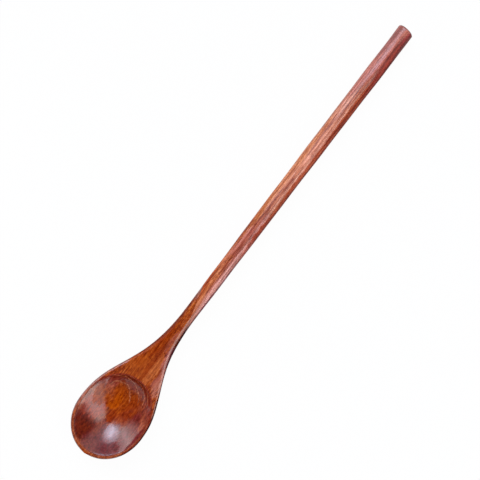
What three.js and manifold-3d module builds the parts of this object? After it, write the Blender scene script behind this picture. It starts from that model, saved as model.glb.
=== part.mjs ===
// Long-handled wooden spoon: a carved bowl head and a slim round handle, joined by a scarf at the waist.
// Millimetres, +Z up. The spoon lies bowl up on a table top at Z = 0. +X runs from the bowl to the handle.
import * as THREE from 'three';
import { mergeVertices } from 'three/addons/utils/BufferGeometryUtils.js';
import Module from 'manifold-3d';

// Driving dimensions, plan view
const SPOON_LENGTH = 330;
const BOWL_WIDTH = 46.5;
const WIDEST_FROM_TIP = 27; // where the bowl is widest and deepest
const WAIST_FROM_TIP = 107; // where the neck has become the thinnest round rod
const WAIST_DIAMETER = 9;
const BUTT_DIAMETER = 10.7; // the handle swells a little towards its free end
const TIP_FULLNESS = 0.555; // share of the tip's quarter outline that its curve handles span: 0.552 is oval
const SHOULDER_HANDLE = 30.4; // curve handle that holds the bowl's width behind its widest place
const NECK_HANDLE = 44.2; // curve handle that draws the neck out slim in front of the waist
const WAIST_HANDLE = 23; // curve handle of the rod behind the waist
const GRIP_HANDLE = 104; // curve handle of the rod in front of the butt

// Driving dimensions, bowl and edges
const CAVITY_DEPTH = 11;
const FLOOR_THICKNESS = 3;
const RIM_WIDTH = 1.8; // flat of the rim at the bowl's sides
const TIP_RIM_WIDTH = 2.3; // flat of the rim at the tip
const BOWL_BACK_FROM_TIP = 55.6; // where the hollow ends and the neck begins
const MOUTH_SQUARENESS = 2.15; // power of the mouth's superellipse: 2 is a plain ellipse
const HOLLOW_POWER = 1.15; // power of the hollow's section: 0.5 is an ellipse, 1 a parabola
const NECK_WALL_POWER = 0.62; // the same towards the neck, where the wall stands steeper
const NECK_WALL_SPREAD = [0.5, 0.98]; // cosines of the directions between which the wall turns steeper
const LIP_ROUNDING = 1.6; // radius of the bowl's outer top edge
const LIP_EASING = 0.6; // bevel of the hollow's inner edge
const NECK_DROP = 1; // the rim lies this far below the top of the waist
const BUTT_DOME = 1.8; // length over which the butt rounds off
const BUTT_FULLNESS = 0.68; // share of the dome's outline that its curve handles span: higher is squarer
const BUTT_SKEW = 6; // degrees that the butt is out of square
const BUTT_SKEW_REACH = 12; // length of the handle over which the skew grows
const FOOT_DEPTH = 0.35; // depth of the flat sanded under the bowl, on which the spoon rests

// Driving dimensions, scarf joint between the head and the handle
const SCARF_LENGTH = 29;
const SCARF_FROM_TIP = 112; // middle of the sloping glue line
const GLUE_GAP = 0.3;

// Fineness of the mesh
const AROUND = 40;
const TIP_STEPS = 13;
const NECK_STEPS = 24;
const ROD_STEPS = 10;
const DOME_STEPS = 5;
const MOUTH_STEPS = 48;
const HOLLOW_STEPS = 11;
const TOE_SEARCH_STEPS = 400;

// Sizes that follow
const WAIST_RADIUS = WAIST_DIAMETER / 2;
const BUTT_RADIUS = BUTT_DIAMETER / 2;
const RIM_HEIGHT = WAIST_RADIUS - NECK_DROP; // above the handle's axis
const KEEL_DEPTH = RIM_HEIGHT - CAVITY_DEPTH - FLOOR_THICKNESS; // lowest line of the bowl, below the axis
const DOME_START = SPOON_LENGTH - BUTT_DOME;
const BIG = 4 * SPOON_LENGTH; // side of the blocks that cut the blank

const wasm = await Module();
wasm.setup();

function toSolid(geometry) {
  const bare = geometry.clone();
  bare.deleteAttribute('normal');
  bare.deleteAttribute('uv');
  const merged = mergeVertices(bare);
  return new wasm.Manifold(
    new wasm.Mesh({
      numProp: 3,
      vertProperties: merged.attributes.position.array,
      triVerts: new Uint32Array(merged.index.array),
    }),
  );
}

function toGeometry(solid) {
  const mesh = solid.getMesh();
  const geometry = new THREE.BufferGeometry();
  geometry.setAttribute('position', new THREE.BufferAttribute(mesh.vertProperties, 3));
  geometry.setIndex(new THREE.BufferAttribute(mesh.triVerts, 1));
  geometry.computeVertexNormals();
  return geometry;
}

// Guide curves of the blank: X is the distance from the tip, Y the half width, Z the keel below the axis.
// The tip, neck, rod and dome follow one another, each tangent to the next.
function guideCurves() {
  const halfWidth = BOWL_WIDTH / 2;
  const edge = RIM_HEIGHT - LIP_ROUNDING;
  const tipKeel = edge + (KEEL_DEPTH - edge) * TIP_FULLNESS;
  const curve = (...points) => new THREE.CubicBezierCurve3(...points.map((p) => new THREE.Vector3(...p)));
  const tip = curve(
    [0, 0, edge],
    [0, halfWidth * TIP_FULLNESS, tipKeel],
    [WIDEST_FROM_TIP * (1 - TIP_FULLNESS), halfWidth, KEEL_DEPTH],
    [WIDEST_FROM_TIP, halfWidth, KEEL_DEPTH],
  );
  const neck = curve(
    [WIDEST_FROM_TIP, halfWidth, KEEL_DEPTH],
    [WIDEST_FROM_TIP + SHOULDER_HANDLE, halfWidth, KEEL_DEPTH],
    [WAIST_FROM_TIP - NECK_HANDLE, WAIST_RADIUS, -WAIST_RADIUS],
    [WAIST_FROM_TIP, WAIST_RADIUS, -WAIST_RADIUS],
  );
  const rod = curve(
    [WAIST_FROM_TIP, WAIST_RADIUS, -WAIST_RADIUS],
    [WAIST_FROM_TIP + WAIST_HANDLE, WAIST_RADIUS, -WAIST_RADIUS],
    [DOME_START - GRIP_HANDLE, BUTT_RADIUS, -BUTT_RADIUS],
    [DOME_START, BUTT_RADIUS, -BUTT_RADIUS],
  );
  const dome = curve(
    [DOME_START, BUTT_RADIUS, -BUTT_RADIUS],
    [DOME_START + BUTT_FULLNESS * BUTT_DOME, BUTT_RADIUS, -BUTT_RADIUS],
    [SPOON_LENGTH, BUTT_FULLNESS * BUTT_RADIUS, -BUTT_FULLNESS * BUTT_RADIUS],
    [SPOON_LENGTH, 0, 0],
  );
  return [
    [tip, TIP_STEPS],
    [neck, NECK_STEPS],
    [rod, ROD_STEPS],
    [dome, DOME_STEPS],
  ];
}

// One cross-section of the blank: flat-topped with rounded corners at the bowl, a circle from the waist on.
function crossSection({ x: along, y: halfWidth, z: keel }) {
  const roundness = THREE.MathUtils.smoothstep(along, BOWL_BACK_FROM_TIP, WAIST_FROM_TIP);
  const rodRadius = along > WAIST_FROM_TIP ? halfWidth : WAIST_RADIUS;
  const edge = THREE.MathUtils.lerp(RIM_HEIGHT - LIP_ROUNDING, 0, roundness);
  const top = THREE.MathUtils.lerp(RIM_HEIGHT, rodRadius, roundness);
  const inFromTip = 1 - Math.min(along / LIP_ROUNDING, 1);
  const crown = (top - edge) * Math.sqrt(1 - inFromTip ** 2);
  const corner = Math.min(THREE.MathUtils.lerp(LIP_ROUNDING, halfWidth, roundness), halfWidth);
  const skew = Math.tan(THREE.MathUtils.degToRad(BUTT_SKEW))
    * THREE.MathUtils.smoothstep(along, DOME_START - BUTT_SKEW_REACH, DOME_START);
  const ring = [];
  for (let i = 0; i < AROUND; i++) {
    const angle = (2 * Math.PI * i) / AROUND;
    const across = halfWidth * Math.cos(angle);
    const intoCorner = Math.max(0, Math.abs(across) - (halfWidth - corner)) / corner;
    const height = i <= AROUND / 2
      ? edge + crown * Math.sqrt(Math.max(0, 1 - intoCorner ** 2))
      : edge + (keel - edge) * -Math.sin(angle);
    ring.push(new THREE.Vector3(along + skew * across, across, height));
  }
  return ring;
}

// The uncarved blank: rings along the guide curves, closed by a point at the tip and at the butt.
function blankGeometry() {
  const stations = guideCurves().flatMap(([curve, steps], n) => curve.getPoints(steps).slice(n ? 1 : 0));
  const tip = stations.shift();
  const butt = stations.pop();
  const rings = stations.map(crossSection);
  const points = [tip, ...rings.flat(), butt];
  const index = [];
  const at = (ring, i) => 1 + ring * AROUND + (i % AROUND);
  for (let i = 0; i < AROUND; i++) {
    index.push(0, at(0, i + 1), at(0, i));
    index.push(points.length - 1, at(rings.length - 1, i), at(rings.length - 1, i + 1));
    for (let r = 0; r + 1 < rings.length; r++) {
      index.push(at(r, i), at(r, i + 1), at(r + 1, i));
      index.push(at(r, i + 1), at(r + 1, i + 1), at(r + 1, i));
    }
  }
  return new THREE.BufferGeometry().setFromPoints(points).setIndex(index);
}

// Depth of the hollow where the lathed dish has a depth. The dish falls away faster towards the neck.
function hollowDepth(dishDepth, toNeck) {
  const steepness = THREE.MathUtils.smoothstep(toNeck, ...NECK_WALL_SPREAD);
  const power = THREE.MathUtils.lerp(1, NECK_WALL_POWER / HOLLOW_POWER, steepness);
  const fall = CAVITY_DEPTH - LIP_EASING;
  return LIP_EASING + fall * ((dishDepth - LIP_EASING) / fall) ** power;
}

// The tool that hollows the bowl: a lathed dish with a bevelled mouth, drawn out to the oval of the rim.
function hollowGeometry() {
  const halfLength = (BOWL_BACK_FROM_TIP - TIP_RIM_WIDTH) / 2;
  const halfMouth = BOWL_WIDTH / 2 - RIM_WIDTH;
  const wall = 1 - LIP_EASING / halfMouth;
  const profile = [];
  for (let i = 0; i <= HOLLOW_STEPS; i++) {
    const radius = Math.sin((Math.PI / 2) * (i / HOLLOW_STEPS));
    const depth = LIP_EASING + (CAVITY_DEPTH - LIP_EASING) * (1 - radius ** 2) ** HOLLOW_POWER;
    profile.push(new THREE.Vector2(wall * radius, -depth));
  }
  profile.push(new THREE.Vector2(1, 0));
  profile.push(new THREE.Vector2(1, CAVITY_DEPTH));
  profile.push(new THREE.Vector2(0, CAVITY_DEPTH));
  const dish = new THREE.LatheGeometry(profile, MOUTH_STEPS).rotateX(Math.PI / 2);
  const point = new THREE.Vector3();
  const places = dish.attributes.position;
  for (let i = 0; i < places.count; i++) {
    point.fromBufferAttribute(places, i);
    const turn = Math.atan2(point.y, point.x);
    const reach = Math.abs(Math.cos(turn)) ** MOUTH_SQUARENESS + Math.abs(Math.sin(turn)) ** MOUTH_SQUARENESS;
    const stretch = reach ** (-1 / MOUTH_SQUARENESS);
    const inDish = point.z < -LIP_EASING;
    const height = inDish ? -hollowDepth(-point.z, Math.cos(turn) * stretch) : point.z;
    places.setXYZ(i, point.x * stretch * halfLength, point.y * stretch * halfMouth, height);
  }
  return dish.translate(TIP_RIM_WIDTH + halfLength, 0, RIM_HEIGHT);
}

// Tilt at which the foot under the bowl and the butt both touch the table.
const footDrop = -KEEL_DEPTH - FOOT_DEPTH - BUTT_RADIUS;
const REST_TILT = Math.atan2(footDrop, DOME_START - WIDEST_FROM_TIP);

// Everything below the table plane, which sands the foot flat.
function tableBlock() {
  const block = new THREE.BoxGeometry(BIG, BIG, BIG).translate(0, 0, -BIG / 2).rotateY(-REST_TILT);
  return block.translate(WIDEST_FROM_TIP, 0, KEEL_DEPTH + FOOT_DEPTH);
}

// Point at which the glue line has run out through the side of the neck, towards the bowl.
function scarfToe() {
  const rise = WAIST_DIAMETER / SCARF_LENGTH;
  const neck = guideCurves()[1][0];
  const outside = neck.getPoints(TOE_SEARCH_STEPS).reverse().find(
    (p) => (SCARF_FROM_TIP - p.x) * rise > p.y + GLUE_GAP,
  );
  return new THREE.Vector2(outside.x, (outside.x - SCARF_FROM_TIP) * rise);
}

// The handle's side of the glue line, moved along its normal: a prism that leaves the wood squarely.
function handleSide(shift) {
  const slope = Math.atan2(WAIST_DIAMETER, SCARF_LENGTH);
  const toe = scarfToe();
  const heelOut = WAIST_DIAMETER + BUTT_DIAMETER;
  const heel = new THREE.Vector2(SCARF_FROM_TIP + heelOut / Math.tan(slope), heelOut);
  const plan = new THREE.Shape([
    toe,
    new THREE.Vector2(toe.x, -BIG),
    new THREE.Vector2(BIG, -BIG),
    new THREE.Vector2(BIG, BIG),
    new THREE.Vector2(heel.x, BIG),
    heel,
  ]);
  const prism = new THREE.ExtrudeGeometry(plan, { depth: BIG, bevelEnabled: false });
  return prism.translate(shift * Math.sin(slope), -shift * Math.cos(slope), -BIG / 2);
}

// The blank is glued up and carved whole. Only the head is sanded: the butt just touches the table.
const blank = toSolid(blankGeometry()).subtract(toSolid(hollowGeometry()));
const headSolid = blank.subtract(toSolid(handleSide(-GLUE_GAP / 2))).subtract(toSolid(tableBlock()));
const handleSolid = blank.intersect(toSolid(handleSide(GLUE_GAP / 2)));

const headWood = new THREE.MeshStandardMaterial({ color: 0x94400f, roughness: 0.3, metalness: 0 });
const handleWood = new THREE.MeshStandardMaterial({ color: 0xb06038, roughness: 0.35, metalness: 0 });

const bowlHead = new THREE.Mesh(toGeometry(headSolid), headWood);
bowlHead.name = 'bowl_head';
const handle = new THREE.Mesh(toGeometry(handleSolid), handleWood);
handle.name = 'handle';

const spoon = new THREE.Group();
spoon.add(bowlHead, handle);
spoon.rotation.y = REST_TILT;

// Origin under the middle of the spoon, on the table top.
const box = new THREE.Box3().setFromObject(spoon, true);
const middle = box.getCenter(new THREE.Vector3());
spoon.position.set(-middle.x, -middle.y, -box.min.z);

export default spoon;
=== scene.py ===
"""Looks of the long-handled wooden spoon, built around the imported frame.

Blender works in metres in the row frame. The forms are drawn in millimetres in the spoon's own frame:
X from the bowl's tip to the butt, Z = 0 on the handle's axis. They are then laid on the table as
the solids are.
"""

import math

import bpy
import numpy as np
from mathutils import Matrix, Vector


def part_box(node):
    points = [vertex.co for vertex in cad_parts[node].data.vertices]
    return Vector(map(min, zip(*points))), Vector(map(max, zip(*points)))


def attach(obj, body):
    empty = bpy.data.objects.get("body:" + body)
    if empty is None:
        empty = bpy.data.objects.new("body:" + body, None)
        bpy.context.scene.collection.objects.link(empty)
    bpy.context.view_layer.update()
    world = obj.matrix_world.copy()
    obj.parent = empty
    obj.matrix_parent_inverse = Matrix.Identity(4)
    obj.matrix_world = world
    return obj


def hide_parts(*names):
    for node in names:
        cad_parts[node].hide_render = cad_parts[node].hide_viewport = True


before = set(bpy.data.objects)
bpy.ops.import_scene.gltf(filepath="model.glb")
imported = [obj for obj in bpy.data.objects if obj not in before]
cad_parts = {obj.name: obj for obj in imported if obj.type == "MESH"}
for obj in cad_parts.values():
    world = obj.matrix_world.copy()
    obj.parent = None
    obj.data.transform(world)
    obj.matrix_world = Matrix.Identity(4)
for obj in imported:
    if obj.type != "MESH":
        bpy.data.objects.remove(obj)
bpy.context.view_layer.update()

MM = 0.001

# Sizes of the solids, in millimetres
SPOON_LENGTH = 330.0
BOWL_WIDTH = 46.5
WIDEST_FROM_TIP = 27.0
WAIST_FROM_TIP = 107.0
WAIST_RADIUS = 4.5
BUTT_RADIUS = 5.35
TIP_FULLNESS = 0.555
SHOULDER_HANDLE = 30.4
NECK_HANDLE = 44.2
WAIST_HANDLE = 23.0
GRIP_HANDLE = 104.0
CAVITY_DEPTH = 11.0
FLOOR_THICKNESS = 3.0
RIM_WIDTH = 1.8
TIP_RIM_WIDTH = 2.3
BOWL_BACK_FROM_TIP = 55.6
MOUTH_SQUARENESS = 2.15
HOLLOW_POWER = 1.15
NECK_WALL_POWER = 0.62
NECK_WALL_SPREAD = (0.5, 0.98)
LIP_ROUNDING = 1.6
LIP_EASING = 0.6
NECK_DROP = 1.0
BUTT_DOME = 1.8
BUTT_FULLNESS = 0.68
BUTT_SKEW = math.radians(6)
BUTT_SKEW_REACH = 12.0
FOOT_DEPTH = 0.35
SCARF_LENGTH = 29.0
SCARF_FROM_TIP = 112.0

# Sizes of the visible surface only. Pairs are stretches, from the tip, in which a change sets in or ends.
GLUE_LINE = 0.04
LIP_SOFTNESS = 0.8
LIP_STEEPNESS = 3.0
LIP_OUTSET = 0.3
NECK_CROWN = 1.2
CROWN_RISE = (48.0, 64.0)
CROWN_FALL = (74.0, WAIST_FROM_TIP)
CROWN_SIDE = 0.35
CRISP_LEFT = 0.38
CRISP_RIGHT = 0.65
CRISP_END = 200.0
RIGHT_SLIMMING = 0.7
RIGHT_RISE = (34.0, 54.0)
RIGHT_FALL = (66.0, 96.0)
LEFT_SLIMMING = 0.25
LEFT_RISE = (14.0, 26.0)
LEFT_FALL = (110.0, 140.0)
SANDING_RISE = (80.0, 130.0)
SANDING_FALL = (318.0, 328.0)
ROD_BOW = 0.13
ROD_BOW_LENGTH = 40.0
ROD_BOW_START = 1.98
SHARP_ANGLE = math.radians(55)

# Waves along the rod: share of the radius, length, start
ROD_SWELLS = [(0.010, 9.1, 0.7), (0.008, 5.3, 2.1)]

# Sizes that follow
RIM_HEIGHT = WAIST_RADIUS - NECK_DROP
KEEL = RIM_HEIGHT - CAVITY_DEPTH - FLOOR_THICKNESS
DOME_START = SPOON_LENGTH - BUTT_DOME
MOUTH_LENGTH = (BOWL_BACK_FROM_TIP - TIP_RIM_WIDTH) / 2
MOUTH_WIDTH = BOWL_WIDTH / 2 - RIM_WIDTH
MOUTH_CENTRE = TIP_RIM_WIDTH + MOUTH_LENGTH
SCARF_RISE = 2 * WAIST_RADIUS / SCARF_LENGTH
ROW_TIP = -SPOON_LENGTH / 2
REST_TILT = math.atan2(-KEEL - FOOT_DEPTH - BUTT_RADIUS, DOME_START - WIDEST_FROM_TIP)

# Stage and lamps, in metres
STAGE_RADIUS = 11.0
STAGE_BEND = 1.5
STAGE_HEIGHT = 2.0
STAGE_GLOW = 0.97
STAGE_DROP = 0.02 * MM
STAGE_RINGS = (0.5, 3.0)
STAGE_SIDES = 96
LAMP_DISTANCE = 4.0
STRIP_DISTANCE = 2.2
CAMERA_PLACE = (-0.0024, 0.0031, 0.81)

# Fineness of the visible meshes
SIDE_POINTS = 84
TOP_COLUMNS = 36
UNDER_COLUMNS = 56
NECK_RINGS = 44
NECK_LINE = 64.0
TIP_CROWDING = 1.15
STRAIGHT_FROM_TIP = 150.0
SCARF_RINGS = 24
ROD_RINGS = 70
DOME_RINGS = 12


def bezier(points, count):
    """Points along a cubic Bezier curve."""
    t = np.linspace(0, 1, count)[:, None]
    a, b, c, d = np.array(points, float)
    return (1 - t) ** 3 * a + 3 * t * (1 - t) ** 2 * b + 3 * t ** 2 * (1 - t) * c + t ** 3 * d


def guide():
    """Distance from the tip, half width and keel height along the whole blank."""
    half = BOWL_WIDTH / 2
    edge = RIM_HEIGHT - LIP_ROUNDING
    tip = [
        (0, 0, edge),
        (0, half * TIP_FULLNESS, edge + (KEEL - edge) * TIP_FULLNESS),
        (WIDEST_FROM_TIP * (1 - TIP_FULLNESS), half, KEEL),
        (WIDEST_FROM_TIP, half, KEEL),
    ]
    neck = [
        (WIDEST_FROM_TIP, half, KEEL),
        (WIDEST_FROM_TIP + SHOULDER_HANDLE, half, KEEL),
        (WAIST_FROM_TIP - NECK_HANDLE, WAIST_RADIUS, -WAIST_RADIUS),
        (WAIST_FROM_TIP, WAIST_RADIUS, -WAIST_RADIUS),
    ]
    rod = [
        (WAIST_FROM_TIP, WAIST_RADIUS, -WAIST_RADIUS),
        (WAIST_FROM_TIP + WAIST_HANDLE, WAIST_RADIUS, -WAIST_RADIUS),
        (DOME_START - GRIP_HANDLE, BUTT_RADIUS, -BUTT_RADIUS),
        (DOME_START, BUTT_RADIUS, -BUTT_RADIUS),
    ]
    dome = [
        (DOME_START, BUTT_RADIUS, -BUTT_RADIUS),
        (DOME_START + BUTT_FULLNESS * BUTT_DOME, BUTT_RADIUS, -BUTT_RADIUS),
        (SPOON_LENGTH, BUTT_FULLNESS * BUTT_RADIUS, -BUTT_FULLNESS * BUTT_RADIUS),
        (SPOON_LENGTH, 0, 0),
    ]
    parts = [bezier(points, 900) for points in (tip, neck, rod, dome)]
    return np.vstack([parts[0]] + [p[1:] for p in parts[1:]]).T


GUIDE_X, GUIDE_WIDTH, GUIDE_KEEL = guide()
GUIDE_SLOPE = np.gradient(GUIDE_WIDTH, GUIDE_X + np.arange(len(GUIDE_X)) * 1e-9)


def half_width(x):
    """Half the width of the blank at a distance from the tip."""
    return np.interp(x, GUIDE_X, GUIDE_WIDTH)


def smoothstep(x, low, high):
    """Goes softly from 0 at the low end to 1 at the high end."""
    t = np.clip((x - low) / (high - low), 0, 1)
    return t * t * (3 - 2 * t)


def between(x, rise, fall):
    """0 before the rise and after the fall, and 1 between them."""
    return smoothstep(x, *rise) * (1 - smoothstep(x, *fall))


def smooth_min(a, b, softness):
    """The lower of two heights, rounded where they cross."""
    share = np.clip(0.5 + 0.5 * (b - a) / softness, 0, 1)
    return b * (1 - share) + a * share - softness * share * (1 - share)


def edge_height(x):
    """Height of the widest line of the section."""
    round_share = smoothstep(x, BOWL_BACK_FROM_TIP, WAIST_FROM_TIP)
    return (RIM_HEIGHT - LIP_ROUNDING) * (1 - round_share)


def blank_height(x, y):
    """Top of the uncarved blank: flat with rounded corners at the bowl, a full round from the waist on."""
    width = half_width(x)
    round_share = smoothstep(x, BOWL_BACK_FROM_TIP, WAIST_FROM_TIP)
    rod_top = np.where(x > WAIST_FROM_TIP, width, WAIST_RADIUS)
    top = RIM_HEIGHT * (1 - round_share) + rod_top * round_share
    slope = np.where(x < WAIST_FROM_TIP, np.interp(x, GUIDE_X, GUIDE_SLOPE), 0)
    least = np.where(y > 0, CRISP_LEFT, CRISP_RIGHT)
    crisp = least + (1 - least) * smoothstep(x, WAIST_FROM_TIP, CRISP_END)
    share = round_share * crisp
    corner = LIP_ROUNDING * (1 - share) * np.sqrt(1 + slope ** 2) + width * share
    corner = np.clip(corner, 1e-6, np.maximum(width, 1e-6))
    into = np.clip((np.abs(y) - (width - corner)) / corner, 0, 1)
    edge = edge_height(x)
    crown = NECK_CROWN * between(x, CROWN_RISE, CROWN_FALL)
    aside = np.clip(CROWN_SIDE - y / np.maximum(width, 1), 0, 1 + CROWN_SIDE) / (1 + CROWN_SIDE)
    return edge + (top - edge - crown * aside ** 2) * np.sqrt(1 - into ** 2)


def hollow_height(x, y):
    """Surface of the dished hollow. Outside the mouth it runs on steeply upwards."""
    across = np.abs((x - MOUTH_CENTRE) / MOUTH_LENGTH) ** MOUTH_SQUARENESS
    reach = (across + np.abs(y / MOUTH_WIDTH) ** MOUTH_SQUARENESS) ** (1 / MOUTH_SQUARENESS)
    inner = reach / (1 + (LIP_OUTSET - LIP_EASING) / MOUTH_WIDTH)
    leaning = (x - MOUTH_CENTRE) / MOUTH_LENGTH / np.maximum(reach, 1e-6)
    to_neck = smoothstep(leaning, *NECK_WALL_SPREAD)
    power = HOLLOW_POWER + (NECK_WALL_POWER - HOLLOW_POWER) * to_neck
    dish = (CAVITY_DEPTH - LIP_EASING) * np.clip(1 - inner ** 2, 0, 1) ** power
    beyond = np.clip(inner - 1, 0, None) * MOUTH_WIDTH * LIP_STEEPNESS
    return RIM_HEIGHT - LIP_EASING - dish + beyond


def carved_height(x, y):
    """Top of the carved blank, with the lip rounded."""
    return smooth_min(blank_height(x, y), hollow_height(x, y), LIP_SOFTNESS)


def ring_points(x, turn):
    """Points of the blank's section. The turn is 0 at +Y and a quarter turn at the top."""
    y = half_width(x) * np.cos(turn)
    edge = edge_height(x)
    keel = np.interp(x, GUIDE_X, GUIDE_KEEL)
    under = edge + (keel - edge) * np.abs(np.sin(turn))
    z = np.where(np.sin(turn) >= 0, blank_height(x, y), under)
    return np.stack(np.broadcast_arrays(x, y, z), -1)


def scarf_station(turn, shift):
    """Distance from the tip at which the glue plane, moved along X, meets the surface at each turn."""
    x = np.full_like(turn, SCARF_FROM_TIP)
    for _ in range(30):
        x = SCARF_FROM_TIP + shift + half_width(x) * np.cos(turn) / SCARF_RISE
    return x


class Shell:
    """Collects the points and faces of one closed surface."""

    def __init__(self):
        self.points = []
        self.faces = []

    def add(self, points):
        """Adds points and returns their numbers, in the same layout."""
        points = np.asarray(points, float)
        first = len(self.points)
        self.points.extend(points.reshape(-1, 3))
        return np.arange(first, len(self.points)).reshape(points.shape[:-1])

    def sheet(self, grid):
        """Four-sided faces between neighbouring rows and columns of point numbers."""
        grid = np.asarray(grid)
        corners = [grid[:-1, :-1], grid[:-1, 1:], grid[1:, 1:], grid[1:, :-1]]
        self.faces.extend(np.stack(corners, -1).reshape(-1, 4).tolist())

    def tube(self, rings):
        """Faces round a stack of closed rings."""
        rings = np.asarray(rings)
        self.sheet(np.hstack([rings, rings[:, :1]]))

    def fan(self, centre, ring, closed):
        """Three-sided faces from one point to a row of points."""
        ring = list(ring) + ([ring[0]] if closed else [])
        self.faces.extend([int(centre), int(a), int(b)] for a, b in zip(ring, ring[1:]))


def sanding(points):
    """Slight waviness and bow left by shaping the rod by hand."""
    x = points[:, 0]
    fade = between(x, SANDING_RISE, SANDING_FALL)
    swell = sum(share * np.sin(x / length + start) for share, length, start in ROD_SWELLS)
    sway = ROD_BOW * np.sin(x / ROD_BOW_LENGTH + ROD_BOW_START)
    points[:, 1] += fade * (points[:, 1] * swell + sway)
    points[:, 2] += fade * points[:, 2] * swell
    return points


def slimming(points):
    """Slight hollowing of the neck's sides by hand, more on the right than on the left."""
    x, y = points[:, 0], points[:, 1]
    right = RIGHT_SLIMMING * between(x, RIGHT_RISE, RIGHT_FALL)
    left = LEFT_SLIMMING * between(x, LEFT_RISE, LEFT_FALL)
    share = y / np.maximum(half_width(x), 1)
    points[:, 1] -= np.where(y > 0, left, right) * share
    return points


def table_place():
    """Turns and moves the spoon's own frame onto the table, as the solids lie."""
    turn = Matrix.Rotation(REST_TILT, 4, "Y")
    tip = turn @ Vector((0, 0, RIM_HEIGHT - LIP_ROUNDING))
    foot = turn @ Vector((WIDEST_FROM_TIP, 0, KEEL + FOOT_DEPTH))
    low_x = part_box("bowl_head")[0].x / MM
    return Matrix.Translation((low_x - tip.x, 0, -foot.z)) @ turn


def make_piece(name, shell, node, material):
    """Turns a shell into a smooth-shaded object that stands for a CAD node."""
    points = sanding(slimming(np.array(shell.points)))
    place = np.array(table_place())
    points = points @ place[:3, :3].T + place[:3, 3]
    points[:, 2] = np.maximum(points[:, 2], 0)
    mesh = bpy.data.meshes.new(name)
    mesh.from_pydata((points * MM).tolist(), [], shell.faces)
    mesh.validate()
    mesh.shade_smooth()
    mesh.set_sharp_from_angle(angle=SHARP_ANGLE)
    mesh.materials.append(material)
    piece = bpy.data.objects.new(name, mesh)
    bpy.context.scene.collection.objects.link(piece)
    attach(piece, "root")
    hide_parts(node)


def section_turns():
    """Angles of the top columns from +Y to -Y, and of the inner bottom columns back to +Y."""
    top = np.linspace(0, math.pi, TOP_COLUMNS + 1)
    under = np.linspace(math.pi, 2 * math.pi, UNDER_COLUMNS + 1)[1:-1]
    return top, under


def bowl_stations():
    """Distances from the tip along the bowl's side, from the neck line to just short of the tip."""
    sweep = np.linspace(0, 1, SIDE_POINTS + 1)[:-1]
    return NECK_LINE * (1 - np.sin(sweep * math.pi / 2) ** TIP_CROWDING)


def head_shell():
    """The bowl and neck: a web round the hollow on top, half rings below, rings along the neck."""
    shell = Shell()
    top, under = section_turns()
    stations = bowl_stations()
    right = ring_points(stations, np.full_like(stations, math.pi))
    left = ring_points(stations[::-1], np.zeros_like(stations))
    tip = np.array([[0, 0, RIM_HEIGHT - LIP_ROUNDING]])
    across = ring_points(np.full(TOP_COLUMNS - 1, NECK_LINE), top[1:-1])
    outer = np.vstack([right, tip, left, across])
    outer_ids = shell.add(outer)

    centre = np.array([MOUTH_CENTRE, 0])
    turn = np.arctan2(outer[:, 1] / MOUTH_WIDTH, (outer[:, 0] - MOUTH_CENTRE) / MOUTH_LENGTH)
    power = MOUTH_SQUARENESS
    fullness = (np.abs(np.cos(turn)) ** power + np.abs(np.sin(turn)) ** power) ** (-1 / power)
    oval = np.stack([MOUTH_LENGTH * np.cos(turn), MOUTH_WIDTH * np.sin(turn)], -1)
    mouth = centre + oval * fullness[:, None]
    dish_shares = np.r_[np.linspace(0.04, 0.9, 26), np.linspace(0.912, 1, 12)]
    band_shares = 0.5 - 0.5 * np.cos(np.linspace(0, math.pi, 16)[1:-1])
    dish = [centre + share * (mouth - centre) for share in dish_shares]
    band = [mouth + share * (outer[:, :2] - mouth) for share in band_shares]
    plan = np.array(dish + band)
    heights = carved_height(plan[..., 0], plan[..., 1])
    web = shell.add(np.concatenate([plan, heights[..., None]], -1))
    rows = np.vstack([web, outer_ids[None]])
    shell.tube(rows)
    pole = shell.add([[*centre, carved_height(*centre)]])
    shell.fan(pole[0], rows[0][::-1], True)

    half_rings = shell.add(ring_points(stations[:, None], under[None, :]))
    right_ids = outer_ids[:SIDE_POINTS]
    left_ids = outer_ids[SIDE_POINTS + 1:2 * SIDE_POINTS + 1][::-1]
    shell.sheet(np.hstack([right_ids[:, None], half_rings, left_ids[:, None]])[::-1])
    last = [right_ids[-1], *half_rings[-1], left_ids[-1]]
    shell.fan(outer_ids[SIDE_POINTS], last[::-1], False)

    first = np.r_[left_ids[0], outer_ids[2 * SIDE_POINTS + 1:], right_ids[0], half_rings[0]]
    turns = np.r_[top, under]
    end = scarf_station(turns, -GLUE_LINE / 2)
    share = np.linspace(0, 1, NECK_RINGS)[1:, None]
    rings = shell.add(ring_points(NECK_LINE + (end - NECK_LINE) * share, turns[None, :]))
    shell.tube(np.vstack([first[None], rings])[::-1])
    hub = shell.add([[SCARF_FROM_TIP, 0, 0]])
    shell.fan(hub[0], rings[-1], True)
    return shell


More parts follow.
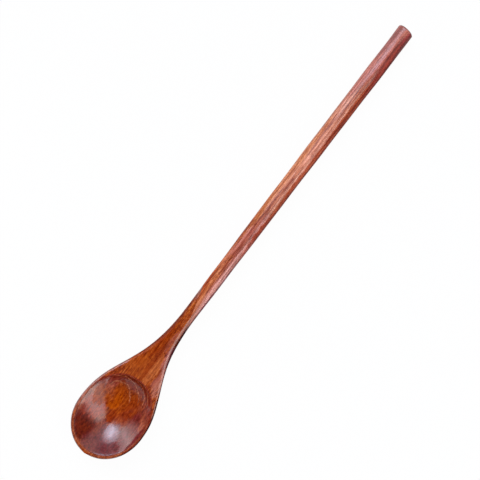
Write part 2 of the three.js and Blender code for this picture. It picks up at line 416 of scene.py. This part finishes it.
def handle_shell():
    """The rod: rings that start slanted at the glue plane, straighten, and close over the domed butt."""
    shell = Shell()
    turns = np.r_[section_turns()[0], section_turns()[1]]
    start = scarf_station(turns, GLUE_LINE / 2)
    scarf = start + (STRAIGHT_FROM_TIP - start) * np.linspace(0, 1, SCARF_RINGS)[:, None]
    rod = np.linspace(STRAIGHT_FROM_TIP, DOME_START, ROD_RINGS)[1:]
    dome = SPOON_LENGTH - BUTT_DOME * (1 - np.sin(np.linspace(0, math.pi / 2, DOME_RINGS + 1)[1:-1]))
    plain = np.r_[rod, dome][:, None] + np.zeros_like(turns)
    points = ring_points(np.vstack([scarf, plain]), turns[None, :])
    skew = math.tan(BUTT_SKEW) * smoothstep(points[..., 0], DOME_START - BUTT_SKEW_REACH, DOME_START)
    points[..., 0] += skew * points[..., 1]
    rings = shell.add(points)
    shell.tube(rings[::-1])
    hub = shell.add([[SCARF_FROM_TIP, 0, 0]])
    shell.fan(hub[0], rings[0][::-1], True)
    butt = shell.add([[SPOON_LENGTH, 0, 0]])
    shell.fan(butt[0], rings[-1], True)
    return shell


def add(tree, kind, inputs, **settings):
    """A new shader node. Inputs are values or sockets to link, by name or number."""
    made = tree.nodes.new("ShaderNode" + kind)
    for name, value in settings.items():
        setattr(made, name, value)
    for key, value in inputs.items():
        if isinstance(value, bpy.types.NodeSocket):
            tree.links.new(value, made.inputs[key])
        else:
            made.inputs[key].default_value = value
    return made


def ramp(tree, factor, stops):
    """A colour ramp through (position, colour) stops."""
    made = add(tree, "ValToRGB", {"Fac": factor})
    elements = made.color_ramp.elements
    while len(elements) < len(stops):
        elements.new(0.5)
    for element, (position, colour) in zip(elements, stops):
        element.position = position
        element.color = (*colour, 1)
    return made.outputs["Color"]


def mix_colours(tree, share, first, second, blend="MIX"):
    """Two colours mixed by a share that may be a socket."""
    inputs = {"Factor": share, 6: first, 7: second}
    return add(tree, "Mix", inputs, data_type="RGBA", blend_type=blend).outputs[2]


def tinted(tree, share, colour, tint):
    """A colour, part of it multiplied by a tint."""
    changed = mix_colours(tree, 1.0, colour, (*tint, 1), "MULTIPLY")
    return mix_colours(tree, share, colour, changed)


def stretch(tree, value, low, high, to_low, to_high):
    """Maps a value smoothly from one range to another."""
    inputs = {"Value": value, "From Min": low, "From Max": high, "To Min": to_low, "To Max": to_high}
    return add(tree, "MapRange", inputs, interpolation_type="SMOOTHSTEP").outputs["Result"]


def calc(tree, operation, first, second=0.0):
    """One step of arithmetic on numbers."""
    return add(tree, "Math", {0: first, 1: second}, operation=operation).outputs[0]


def vector_calc(tree, operation, first, second=(0, 0, 0), third=(0, 0, 0)):
    """One step of arithmetic on vectors."""
    return add(tree, "VectorMath", {0: first, 1: second, 2: third}, operation=operation).outputs


def noise(tree, vector, long, wide, detail):
    """Noise whose features are this long along the grain and this wide across it, in millimetres."""
    scale = (1 / long, 1 / wide, 1 / wide)
    fitted = add(tree, "Mapping", {"Vector": vector, "Scale": scale}).outputs[0]
    inputs = {"Vector": fitted, "Scale": 1, "Detail": detail, "Roughness": 0.6}
    return add(tree, "TexNoise", inputs).outputs


def wobble(tree, vector, long, wide, detail):
    """Noise as a vector about zero."""
    colour = noise(tree, vector, long, wide, detail)["Color"]
    return vector_calc(tree, "SUBTRACT", colour, (0.5, 0.5, 0.5))[0]


def patch_mask(tree, vector, centre, radii):
    """1 in the middle of an egg-shaped place and 0 outside it."""
    offset = vector_calc(tree, "SUBTRACT", vector, centre)[0]
    reach = vector_calc(tree, "LENGTH", vector_calc(tree, "DIVIDE", offset, radii)[0])["Value"]
    return stretch(tree, reach, 0.75, 1.05, 1, 0)


def mouth_reach(tree, place):
    """How far out a point lies from the middle of the mouth. It is 1 on the lip."""
    offset = vector_calc(tree, "SUBTRACT", place, (MOUTH_CENTRE + ROW_TIP, 0, 0))[0]
    shares = vector_calc(tree, "DIVIDE", offset, (MOUTH_LENGTH, MOUTH_WIDTH, 1))[0]
    sides = add(tree, "SeparateXYZ", {0: vector_calc(tree, "ABSOLUTE", shares)[0]}).outputs
    along = calc(tree, "POWER", sides["X"], MOUTH_SQUARENESS)
    across = calc(tree, "POWER", sides["Y"], MOUTH_SQUARENESS)
    return calc(tree, "POWER", calc(tree, "ADD", along, across), 1 / MOUTH_SQUARENESS)


# Tints that multiply the wood's colour. The last three paint shade on the side facing -Y, a highlight on
# the butt's rounding, and shade on steep outer edges and the butt's end.
WARM_TINT = (1.02, 1.04, 0.40)
VEIN_TINT = (0.58, 0.42, 0.62)
DARK_FLECK_TINT = (0.52, 0.32, 0.30)
LIGHT_FLECK_TINT = (1.34, 1.70, 2.20)
PORE_TINT = (0.40, 0.30, 0.32)
FLANK_SHADE_TINT = (0.24, 0.22, 0.50)
ROUNDING_HIGHLIGHT_TINT = (1.25, 1.80, 2.20)
EDGE_SHADE_TINT = (0.36, 0.22, 0.30)

# Colours of thin lines on the wood: the growth lines, and a painted highlight along the lip
GROWTH_LINE_COLOUR = (0.57, 0.165, 0.062, 1)
LIP_HIGHLIGHT_COLOUR = (0.47, 0.14, 0.065, 1)

# Reach from the middle of the mouth, 1 on the lip, over which a mask sets in or ends. The neck wall's
# painted shade and the lip's painted highlight use some of them.
INSIDE_LIP = (0.985, 1.012)
OUTSIDE_LIP = (1.0, 1.03)
NECK_WALL_START = (0.72, 0.86)
NECK_WALL_END = (1.012, 1.035)
LIP_LINE = 1.008
LIP_LINE_WIDTH = (0.008, 0.03)

# Stretches along the spoon and heights above the table, in the row frame's millimetres, for the same use.
# The crisp stretch widens the painted shade on the -Y side; the lip and edge heights bound the painted
# highlight on the lip and the painted shade on the edge.
BOWL_END = (BOWL_BACK_FROM_TIP - 4 + ROW_TIP, BOWL_BACK_FROM_TIP + 6 + ROW_TIP)
NECK_SIDE = (MOUTH_CENTRE + 4 + ROW_TIP, MOUTH_CENTRE + 15 + ROW_TIP)
CRISP_FLANK = (80 + ROW_TIP, 100 + ROW_TIP)
LIP_HEIGHTS = (11.0, 12.5)
EDGE_HEIGHTS = (8.5, 11.0)

# Direction that the side with painted shade faces
FLANK_SIDE = (0.3, -0.95, 0)


def wood_tone(tree, grained, look):
    """Colour of the plain wood: long streaks, fibres, mottling, and orange and pink stripes."""
    streaks = noise(tree, grained, 60, 1.5, 3)["Fac"]
    fibres = noise(tree, grained, 11, 0.7, 2)["Fac"]
    mottle = noise(tree, grained, 3, 1.4, 3)["Fac"]
    tone = 0.0
    for layer, weight in zip((streaks, fibres, mottle), look["weights"]):
        tone = calc(tree, "ADD", calc(tree, "MULTIPLY", layer, weight), tone)
    colour = ramp(tree, tone, look["tones"])
    stripe = add(tree, "SeparateXYZ", {0: noise(tree, grained, 75, 1.9, 2)["Color"]}).outputs["Y"]
    warm = stretch(tree, stripe, 0.42, 0.62, 0, look["warm"])
    colour = tinted(tree, warm, colour, WARM_TINT)
    veins = stretch(tree, noise(tree, grained, 16, 0.9, 2)["Fac"], 0.53, 0.63, 0, look["veins"])
    return tinted(tree, veins, colour, VEIN_TINT), fibres


def fine_grain(tree, grained, colour, look):
    """Dark and light flecks and thin streaks, with their own shares in the bowl and beyond it."""
    along = add(tree, "SeparateXYZ", {0: grained}).outputs["X"]
    for long, wide, in_bowl, beyond in look["grain"]:
        grain = noise(tree, grained, long, wide, 2)["Fac"]
        share = stretch(tree, along, *BOWL_END, in_bowl, beyond)
        dark = stretch(tree, grain, 0.49, 0.36, 0, share)
        light = stretch(tree, grain, 0.51, 0.64, 0, share)
        colour = tinted(tree, dark, colour, DARK_FLECK_TINT)
        colour = tinted(tree, light, colour, LIGHT_FLECK_TINT)
    return colour


def paint_places(tree, places, vector, colour, worn, limit=None):
    """Colours and dulls places, one over the other. A limit keeps them inside another mask."""
    for centre, radii, shade, strength, dullness in places:
        mask = patch_mask(tree, vector, centre, radii)
        if limit is not None:
            mask = calc(tree, "MULTIPLY", mask, limit)
        colour = mix_colours(tree, calc(tree, "MULTIPLY", mask, strength), colour, (*shade, 1))
        worn = calc(tree, "MAXIMUM", calc(tree, "MULTIPLY", mask, dullness), worn)
    return colour, worn


def growth_lines(tree, grained, look):
    """Thin lines where the growth layers come out."""
    uneven = wobble(tree, grained, 6, 2.5, 2)
    bent = vector_calc(tree, "MULTIPLY_ADD", uneven, (0, 1.5, 1.5), grained)[0]
    layer = vector_calc(tree, "DOT_PRODUCT", bent, look["layer_up"])["Value"]
    turns = calc(tree, "DIVIDE", calc(tree, "SUBTRACT", layer, look["layer_start"]), look["layer_step"])
    return stretch(tree, calc(tree, "PINGPONG", turns, 0.5), 0.025, 0.10, look["layer_line"], 0)


def lip_highlight(tree, reach, height, to_neck, look):
    """Share of the painted highlight along the top of the lip. It fades out towards the neck."""
    off_lip = calc(tree, "ABSOLUTE", calc(tree, "SUBTRACT", reach, LIP_LINE))
    lip = stretch(tree, off_lip, *LIP_LINE_WIDTH, look["lip"], 0)
    lip = calc(tree, "MULTIPLY", lip, stretch(tree, height, *LIP_HEIGHTS, 0, 1))
    return calc(tree, "MULTIPLY", lip, stretch(tree, to_neck, 0, 0.5, 1, 0))


def hollow_marks(tree, place, ragged, grained, colour, worn, look):
    """Colours in the hollow, painted shade on the steep wall and growth lines on its neck side, and a
    painted highlight along the lip.
    """
    reach = mouth_reach(tree, place)
    inside = stretch(tree, reach, *INSIDE_LIP, 1, 0)
    colour, worn = paint_places(tree, look["hollow_places"], ragged, colour, worn, inside)
    sides = add(tree, "SeparateXYZ", {0: place}).outputs
    to_neck = stretch(tree, sides["X"], *NECK_SIDE, 0, 0.75)
    # Painted shade on the steep wall on the neck side of the hollow, inside the lip
    wall = stretch(tree, mouth_reach(tree, ragged), *NECK_WALL_START, 0, 1)
    wall = calc(tree, "MULTIPLY", wall, to_neck)
    wall = calc(tree, "MULTIPLY", wall, stretch(tree, reach, *NECK_WALL_END, 1, 0))
    colour = mix_colours(tree, wall, colour, (*look["neck_wall_shade"], 1))
    layers = patch_mask(tree, ragged, *look["layer_place"])
    lines = calc(tree, "MULTIPLY", growth_lines(tree, grained, look), layers)
    lines = calc(tree, "MULTIPLY", lines, inside)
    colour = mix_colours(tree, lines, colour, GROWTH_LINE_COLOUR)
    # Painted highlight along the top of the lip; the coat is dulled there as well
    lip = lip_highlight(tree, reach, sides["Z"], to_neck, look)
    worn = calc(tree, "MAXIMUM", calc(tree, "MULTIPLY", lip, 1.8), worn)
    return mix_colours(tree, lip, colour, LIP_HIGHLIGHT_COLOUR), worn


def side_tints(tree, coords, place, colour, look):
    """Paints shade on the side that faces -Y, on the bowl's steep outer edge and on the butt's end, and a
    highlight on the butt's rounding.
    """
    sides = add(tree, "SeparateXYZ", {0: place}).outputs
    facing = add(tree, "SeparateXYZ", {0: coords["Normal"]}).outputs
    off_mouth = stretch(tree, mouth_reach(tree, place), *OUTSIDE_LIP, 0, 1)
    # Painted shade on the side that faces -Y, reaching further where the neck is crisp, outside the mouth
    aside = vector_calc(tree, "DOT_PRODUCT", coords["Normal"], FLANK_SIDE)["Value"]
    crisp = stretch(tree, sides["X"], *CRISP_FLANK, 0.25, 0)
    flank_shade = stretch(tree, calc(tree, "ADD", aside, crisp), 0.62, 0.88, 0, look["flank_shade"])
    flank_shade = calc(tree, "MULTIPLY", flank_shade, off_mouth)
    colour = tinted(tree, flank_shade, colour, FLANK_SHADE_TINT)
    # Painted shade on the bowl's steep outer sides, high up and outside the mouth
    edge = stretch(tree, calc(tree, "ABSOLUTE", facing["Z"]), 0.55, 0.85, look["edge"], 0)
    edge = calc(tree, "MULTIPLY", edge, stretch(tree, sides["Z"], *EDGE_HEIGHTS, 0, 1))
    edge = calc(tree, "MULTIPLY", edge, off_mouth)
    # Painted highlight on the butt's rounding, and painted shade where its end turns further away
    rounded = stretch(tree, facing["X"], 0.04, 0.16, 0, look["butt_end_painted_light"])
    colour = tinted(tree, rounded, colour, ROUNDING_HIGHLIGHT_TINT)
    butt_end_painted_light = stretch(tree, facing["X"], 0.30, 0.60, 0, look["butt_end_painted_light"])
    colour = tinted(tree, calc(tree, "MAXIMUM", edge, butt_end_painted_light), colour, EDGE_SHADE_TINT)
    return colour, flank_shade


def uneven_surface(tree, shader, place, fibres, pits):
    """Fine bumps of the wood, and slow waves and finer bumps of the coat."""
    grain_height = calc(tree, "SUBTRACT", fibres, pits)
    grain = {"Height": grain_height, "Strength": 0.35, "Distance": 0.08 * MM}
    tree.links.new(add(tree, "Bump", grain).outputs[0], shader.inputs["Normal"])
    waves = {"Height": noise(tree, place, 7, 3.0, 2)["Fac"], "Strength": 0.5, "Distance": 0.15 * MM}
    waved = add(tree, "Bump", waves).outputs[0]
    fine = {"Height": grain_height, "Strength": 0.25, "Distance": 0.025 * MM, "Normal": waved}
    tree.links.new(add(tree, "Bump", fine).outputs[0], shader.inputs["Coat Normal"])
    tree.links.new(stretch(tree, fibres, 0.3, 0.7, 0.62, 0.42), shader.inputs["Roughness"])


def wood(name, look):
    """Lacquered wood with grain along X and coloured places, some of which are painted shade and
    highlights, under a clear coat that is partly worn and dulled where shade is painted.
    """
    material = bpy.data.materials.new(name)
    material.use_nodes = True
    tree = material.node_tree
    shader = tree.nodes["Principled BSDF"]
    coords = add(tree, "TexCoord", {}).outputs
    place = add(tree, "VectorMath", {0: coords["Object"], 3: 1 / MM}, operation="SCALE").outputs[0]
    sway = wobble(tree, place, 45, 9, 1)
    crumble = wobble(tree, place, 5, 2, 3)
    grained = vector_calc(tree, "MULTIPLY_ADD", sway, (0, 2.2, 2.2), place)[0]
    wavy = vector_calc(tree, "MULTIPLY_ADD", sway, look["ragged"], place)[0]
    ragged = vector_calc(tree, "MULTIPLY_ADD", crumble, look["crumbled"], wavy)[0]

    colour, fibres = wood_tone(tree, grained, look)
    colour, worn = paint_places(tree, look["places"], ragged, colour, 0.0)
    if look["hollow_places"]:
        colour, worn = hollow_marks(tree, place, ragged, grained, colour, worn, look)
    colour = fine_grain(tree, grained, colour, look)
    pits = stretch(tree, noise(tree, grained, 5, 0.45, 1)["Fac"], 0.58, 0.68, 0, look["pores"])
    colour = tinted(tree, pits, colour, PORE_TINT)
    colour, flank_shade = side_tints(tree, coords, place, colour, look)
    tree.links.new(colour, shader.inputs["Base Color"])
    # The coat is dulled where the side's shade is painted, too
    worn = calc(tree, "MAXIMUM", flank_shade, worn)
    tree.links.new(stretch(tree, worn, 0, 1, 1, 0), shader.inputs["Coat Weight"])
    uneven_surface(tree, shader, place, fibres, pits)
    shader.inputs["Specular IOR Level"].default_value = 0.0
    shader.inputs["Coat Roughness"].default_value = look["coat_roughness"]
    shader.inputs["Coat IOR"].default_value = 1.72
    return material


def spot(from_tip, to_left, length, width, height=8.0, tall=60.0):
    """Centre and radii, in the row frame's millimetres, of a place given from the tip and from the axis."""
    return (from_tip + ROW_TIP, to_left, height), (length, width, tall)


# Places: where, colour, share of that colour, share of the coat that is worn off. Most colour the wood;
# those marked paint shade, highlights or sheen.
# Grain: length and width of the flecks in millimetres, their share in the bowl, their share beyond it.
HEAD_LOOK = {
    "tones": [
        (0.41, (0.235, 0.024, 0.003)),
        (0.50, (0.385, 0.056, 0.006)),
        (0.59, (0.540, 0.115, 0.022)),
    ],
    "weights": (0.25, 0.28, 0.47),
    "warm": 0.6,
    "veins": 0.3,
    "grain": [(2.6, 1.3, 0.60, 0.30), (14, 1.0, 0.45, 0.45)],
    "pores": 0.6,
    "ragged": (10, 6, 0),
    "crumbled": (8, 3, 0),
    "hollow_places": [
        (*spot(38.5, -1, 11, 13), (0.400, 0.052, 0.002), 0.65, 0.55),
        (*spot(37, 6, 9, 6), (0.560, 0.088, 0.002), 0.70, 0.85),
        (*spot(44.5, 9.5, 7, 6), (0.430, 0.062, 0.006), 0.60, 0.75),
        (*spot(37, -6.5, 9, 5), (0.315, 0.033, 0.002), 0.65, 0.55),
        (*spot(26, 0.5, 5.5, 3.4), (0.300, 0.028, 0.003), 0.75, 0.75),
        (*spot(38, -12.5, 7, 4), (0.330, 0.040, 0.004), 0.60, 0.50),
        (*spot(30, -6.5, 5, 6), (0.300, 0.030, 0.006), 0.50, 0.40),
        (*spot(25, 13, 9, 7), (0.420, 0.038, 0.014), 0.75, 0),
        (*spot(36, 12.5, 8, 5.5), (0.480, 0.080, 0.012), 0.60, 0.52),
        (*spot(11.5, 12.5, 9.5, 10), (0.140, 0.007, 0.002), 0.85, 0.30),
        (*spot(18, 17.5, 7, 3.6), (0.200, 0.014, 0.004), 0.60, 0.55),
        (*spot(9, -12.5, 6, 8), (0.190, 0.018, 0.012), 0.70, 0.50),
        (*spot(15, 2.5, 8, 4.5), (0.200, 0.016, 0.006), 0.80, 0),
        (*spot(6, -1, 7, 10), (0.165, 0.016, 0.014), 0.80, 0.15),
        (*spot(13, -10, 14, 12), (0.150, 0.008, 0.008), 0.80, 0),
        (*spot(28, -17, 18, 7), (0.210, 0.020, 0.020), 0.75, 0),
        (*spot(41, -17.8, 10, 3.8), (0.500, 0.100, 0.030), 0.75, 0),
        (*spot(49, 14.0, 8.5, 5.5), (0.520, 0.100, 0.045), 0.70, 0),
        (*spot(44, -15, 8, 6), (0.330, 0.055, 0.020), 0.50, 0),
    ],
    "neck_wall_shade": (0.240, 0.016, 0.008),
    # Share of the painted highlight along the lip
    "lip": 0.5,
    "places": [
        # Painted shade along the right rim, with its coat dulled
        (*spot(28, -23, 26, 4.6, 14, 5), (0.220, 0.020, 0.010), 0.80, 0.85),
        # Painted reflection: a pale pink band along the left rim
        (*spot(30, 22.5, 24, 3.2, 14, 5), (0.390, 0.115, 0.075), 0.75, 0),
        (*spot(63, 5, 9, 9), (0.470, 0.082, 0.008), 0.50, 0),
        (*spot(69, 0.3, 14, 2.2), (0.320, 0.035, 0.002), 0.65, 0),
        (*spot(66, -2.9, 14, 2.3), (0.640, 0.155, 0.035), 0.60, 0),
        # Painted highlight: pale pink along the neck's right edge, here and on the next line
        (*spot(64, -9.8, 10, 4.0), (0.530, 0.150, 0.100), 0.55, 0),
        (*spot(78, -5.4, 10, 2.2), (0.440, 0.110, 0.095), 0.45, 0),
        (*spot(84, 3.2, 13, 3), (0.310, 0.030, 0.002), 0.60, 0),
        # Painted highlight along the neck's right edge, here and on the next line
        (*spot(87, -1.4, 9, 1.5), (0.460, 0.100, 0.050), 0.60, 0),
        (*spot(58, -12.5, 7, 4), (0.580, 0.180, 0.100), 0.60, 0),
        # Painted shade along the right side of the neck, with its coat dulled
        (*spot(106, -6.1, 18, 2.7), (0.220, 0.034, 0.030), 0.80, 0.80),
        (*spot(92, 9, 37, 9.2), (1.00, 1.00, 1.00), 0.0, 0.75),
    ],
    "layer_up": (0, -0.33, 1),
    "layer_start": 8.15,
    "layer_step": 3.25,
    "layer_line": 0.85,
    "layer_place": spot(51, 0, 11, 22),
    # Shares of painted shade on the -Y side and on the steep outer edge, and of painted light at the butt's
    # end
    "flank_shade": 0.9,
    "edge": 0.7,
    "butt_end_painted_light": 0,
    "coat_roughness": 0.22,
}
HANDLE_LOOK = {
    "tones": [
        (0.41, (0.330, 0.052, 0.014)),
        (0.50, (0.520, 0.124, 0.045)),
        (0.59, (0.700, 0.225, 0.110)),
    ],
    "weights": (0.34, 0.34, 0.32),
    "warm": 0.6,
    "veins": 0.8,
    "grain": [(3.6, 1.2, 0.28, 0.28), (24, 1.3, 0.85, 0.85)],
    "pores": 0.7,
    "ragged": (30, 2, 0),
    "crumbled": (16, 2, 0),
    "hollow_places": [],
    "places": [
        (*spot(230, 2.0, 50, 2.0), (0.910, 0.340, 0.183), 0.62, 0),
        # Paler along the top of the rod: wood colour, partly a painted sheen
        (*spot(230, -0.8, 54, 1.8), (0.800, 0.260, 0.135), 0.50, 0),
        (*spot(224, 4.0, 48, 1.8), (0.790, 0.245, 0.075), 0.60, 0),
        (*spot(215, 2.6, 60, 2.8), (1.00, 1.00, 1.00), 0.0, 0.50),
        (*spot(117, 4.2, 20, 3.6), (0.430, 0.056, 0.002), 0.85, 0),
        (*spot(142, 3.6, 8, 1.8), (0.660, 0.170, 0.062), 0.40, 0),
        (*spot(124, 0, 17, 2.4), (0.700, 0.190, 0.055), 0.60, 0),
        (*spot(158, -0.8, 14, 4.2), (0.420, 0.085, 0.055), 0.65, 0),
        (*spot(158, 2.5, 14, 1.3), (0.700, 0.220, 0.130), 0.50, 0),
        # Painted shade along the rod's right side near the waist, with its coat dulled
        (*spot(166, -4.9, 23, 3.4), (0.400, 0.044, 0.014), 0.78, 0.70),
        (*spot(134, -4.6, 28, 4.4), (0.800, 0.280, 0.200), 0.70, 0),
        (*spot(174, -0.1, 15, 1.2), (0.400, 0.070, 0.035), 0.60, 0),
        (*spot(177, -1.4, 12, 1.2), (0.730, 0.240, 0.180), 0.65, 0),
        (*spot(330, 0, 57, 20), (0.450, 0.080, 0.045), 0.60, 0.15),
        # Paler along the top near the butt: wood colour, partly a painted sheen
        (*spot(305, 1.5, 27, 1.8), (0.640, 0.200, 0.145), 0.60, 0),
        (*spot(294, 3.0, 24, 2.0), (0.600, 0.140, 0.085), 0.50, 0),
        # Painted shade along the rod's right side, on this and the next three lines, with the coat dulled
        (*spot(232, -4.8, 100, 3.2), (0.410, 0.053, 0.014), 0.80, 0.70),
        (*spot(242, -6.8, 92, 3.2), (0.350, 0.038, 0.008), 0.85, 0.70),
        (*spot(306, -4.6, 28, 4.2), (0.290, 0.024, 0.014), 0.75, 0.55),
        (*spot(322, -5.6, 14, 3.4), (0.240, 0.018, 0.014), 0.75, 0.45),
        (*spot(322, 5, 16, 3), (0.300, 0.045, 0.035), 0.70, 0),
        # Painted shade along the right side at the waist, with its coat dulled
        (*spot(112, -6.2, 50, 2.7), (0.220, 0.034, 0.030), 0.80, 0.80),
        (*spot(157, 6.4, 26, 2.3), (0.260, 0.030, 0.022), 0.70, 0.50),
        (*spot(148, 5, 58, 6), (1.00, 1.00, 1.00), 0.0, 0.70),
    ],
    # Shares of painted shade on the -Y side and on the steep outer edge, and of painted light at the butt's
    # end
    "flank_shade": 0.5,
    "edge": 0,
    "butt_end_painted_light": 0.9,
    "coat_roughness": 0.38,
}
head_wood = wood("head_wood_lacquered", HEAD_LOOK)
handle_wood = wood("handle_wood_lacquered", HANDLE_LOOK)
make_piece("carved_bowl_head", head_shell(), "bowl_head", head_wood)
make_piece("round_handle", handle_shell(), "handle", handle_wood)


def stage_profile():
    """Distance from the middle and height of the floor, of the bend at its edge and of the low wall."""
    turn = np.linspace(0, math.pi / 2, 13)
    flat = STAGE_RADIUS - STAGE_BEND
    bend = [(flat + STAGE_BEND * math.sin(a), STAGE_BEND * (1 - math.cos(a))) for a in turn]
    return [*((radius, 0.0) for radius in STAGE_RINGS), *bend, (STAGE_RADIUS, STAGE_HEIGHT)]


def stage_material():
    """Plain white. Seen directly or mirrored it glows a little, so that the shadow on it stays soft."""
    material = bpy.data.materials.new("white_stage")
    material.use_nodes = True
    tree = material.node_tree
    tree.nodes.remove(tree.nodes["Principled BSDF"])
    path = add(tree, "LightPath", {}).outputs
    seen = calc(tree, "MAXIMUM", path["Is Camera Ray"], path["Is Glossy Ray"])
    seen = calc(tree, "MAXIMUM", seen, path["Is Transmission Ray"])
    glow_share = calc(tree, "MULTIPLY", seen, STAGE_GLOW)
    matt = add(tree, "BsdfDiffuse", {"Color": (0.96, 0.96, 0.96, 1)}).outputs[0]
    glow = add(tree, "Emission", {"Color": (1, 1, 1, 1), "Strength": 1}).outputs[0]
    mixed = add(tree, "MixShader", {0: glow_share, 1: matt, 2: glow}).outputs[0]
    tree.links.new(mixed, tree.nodes["Material Output"].inputs["Surface"])
    return material


def make_stage():
    """A wide round white floor that turns up into a low wall."""
    shell = Shell()
    turns = np.linspace(0, 2 * math.pi, STAGE_SIDES, endpoint=False)
    rings = [[(r * math.cos(a), r * math.sin(a), h) for a in turns] for r, h in stage_profile()]
    numbers = shell.add(rings)
    shell.tube(numbers)
    middle = shell.add([[0, 0, 0]])
    shell.fan(middle[0], numbers[0], True)
    mesh = bpy.data.meshes.new("stage")
    mesh.from_pydata([tuple(p) for p in shell.points], [], shell.faces)
    mesh.shade_smooth()
    mesh.materials.append(stage_material())
    stage = bpy.data.objects.new("stage", mesh)
    stage.location.z = -STAGE_DROP
    bpy.context.scene.collection.objects.link(stage)


def towards(sideways, ahead):
    """Direction that leans from straight up by these angles, in degrees, to +X and to +Y."""
    lean = math.hypot(sideways, ahead)
    flat = math.sin(math.radians(lean)) / lean
    return Vector((flat * sideways, flat * ahead, math.cos(math.radians(lean))))


def link_lamp(lamp, direction, along, place):
    """Puts a lamp at a place, shining against the direction, with its height along the given line."""
    level = along.cross(direction).normalized()
    steep = direction.cross(level)
    turn = Matrix((level, steep, direction)).transposed().to_4x4()
    lamp.matrix_world = Matrix.Translation(place) @ turn
    lamp.visible_camera = False
    bpy.context.scene.collection.objects.link(lamp)


def make_disc(name, direction, spread, radiance, colour):
    """A far round light, given by its angle across and by its brightness."""
    data = bpy.data.lights.new(name, "SUN")
    data.energy = radiance * math.pi * math.sin(math.radians(spread) / 2) ** 2
    data.angle = math.radians(spread)
    data.color = colour
    link_lamp(bpy.data.objects.new(name, data), direction, Vector((0, 0, 1)), direction)


def panel_lamp(name, size, radiance):
    """A rectangular soft box of a given brightness."""
    data = bpy.data.lights.new(name, "AREA")
    data.shape = "RECTANGLE"
    data.size, data.size_y = size
    data.energy = radiance * size[0] * size[1] * math.pi
    return bpy.data.objects.new(name, data)


def make_far_panel(name, direction, width, height, radiance):
    """A distant soft box, given by the angles that it spans."""
    size = [2 * LAMP_DISTANCE * math.tan(math.radians(angle) / 2) for angle in (width, height)]
    lamp = panel_lamp(name, size, radiance)
    link_lamp(lamp, direction, Vector((0, 0, 1)), direction * LAMP_DISTANCE)


def make_strip(name, low, high, width, target, radiance):
    """A soft strip between two points, turned to face a third."""
    low, high = Vector(low), Vector(high)
    middle = (low + high) / 2
    along = (high - low).normalized()
    facing = middle - Vector(target)
    facing = (facing - along * facing.dot(along)).normalized()
    lamp = panel_lamp(name, (width, (high - low).length), radiance)
    link_lamp(lamp, facing, along, middle)


def make_world():
    """A trace of even white light from all sides."""
    world = bpy.data.worlds.new("studio")
    world.use_nodes = True
    background = world.node_tree.nodes["Background"]
    background.inputs["Color"].default_value = (1, 1, 1, 1)
    background.inputs["Strength"].default_value = 0.02
    bpy.context.scene.world = world


def make_camera():
    """The photograph's view: straight down, with the handle running to the upper right."""
    data = bpy.data.cameras.new("camera")
    data.sensor_width = 36
    data.lens = 96.87
    camera = bpy.data.objects.new("camera", data)
    right = Vector((0.60670, -0.79493, 0))
    up = Vector((0.79493, 0.60670, 0))
    back = Vector((0, 0, 1))
    turn = Matrix((right, up, back)).transposed().to_4x4()
    camera.matrix_world = Matrix.Translation(CAMERA_PLACE) @ turn
    bpy.context.scene.collection.objects.link(camera)
    bpy.context.scene.camera = camera


COOL = (0.74, 0.80, 1.0)
BOWL_MIDDLE = (-0.137, 0, 0.005)
STRIP_TARGET = (-0.1, 0, 0)
STRIP_LOW = towards(-40, -79.5) * STRIP_DISTANCE
STRIP_HIGH = towards(17, -20) * STRIP_DISTANCE
PANEL_LOW = (-0.148, 0.312, 0.060)
PANEL_HIGH = (-0.130, 0.232, 0.198)
make_stage()
make_disc("key_high", towards(27.5, 23), 28, 6.0, COOL)
make_disc("key_low", towards(23.5, 38), 28, 4.4, COOL)
make_disc("key_halo", towards(26, 30), 52, 0.40, COOL)
make_strip("side_strip", STRIP_LOW, STRIP_HIGH, 0.74, STRIP_TARGET, 2.5)
make_strip("side_halo", STRIP_LOW, STRIP_HIGH, 1.0, STRIP_TARGET, 0.40)
make_far_panel("bridge", towards(34, -2), 34, 40, 0.62)
make_strip("bowl_panel", PANEL_LOW, PANEL_HIGH, 0.085, BOWL_MIDDLE, 1.75)
make_strip("bowl_halo", PANEL_LOW, PANEL_HIGH, 0.15, BOWL_MIDDLE, 0.5)
make_far_panel("far_panel", towards(10, 62), 22, 50, 1.4)
make_far_panel("tip_fill", towards(63, -1), 26, 22, 0.6)
make_far_panel("end_fill", towards(47, 38), 58, 84, 0.15)
make_far_panel("foot_fill", towards(-70, 0), 90, 26, 0.42)
make_world()
make_camera()
bpy.context.scene.view_settings.view_transform = "Standard"
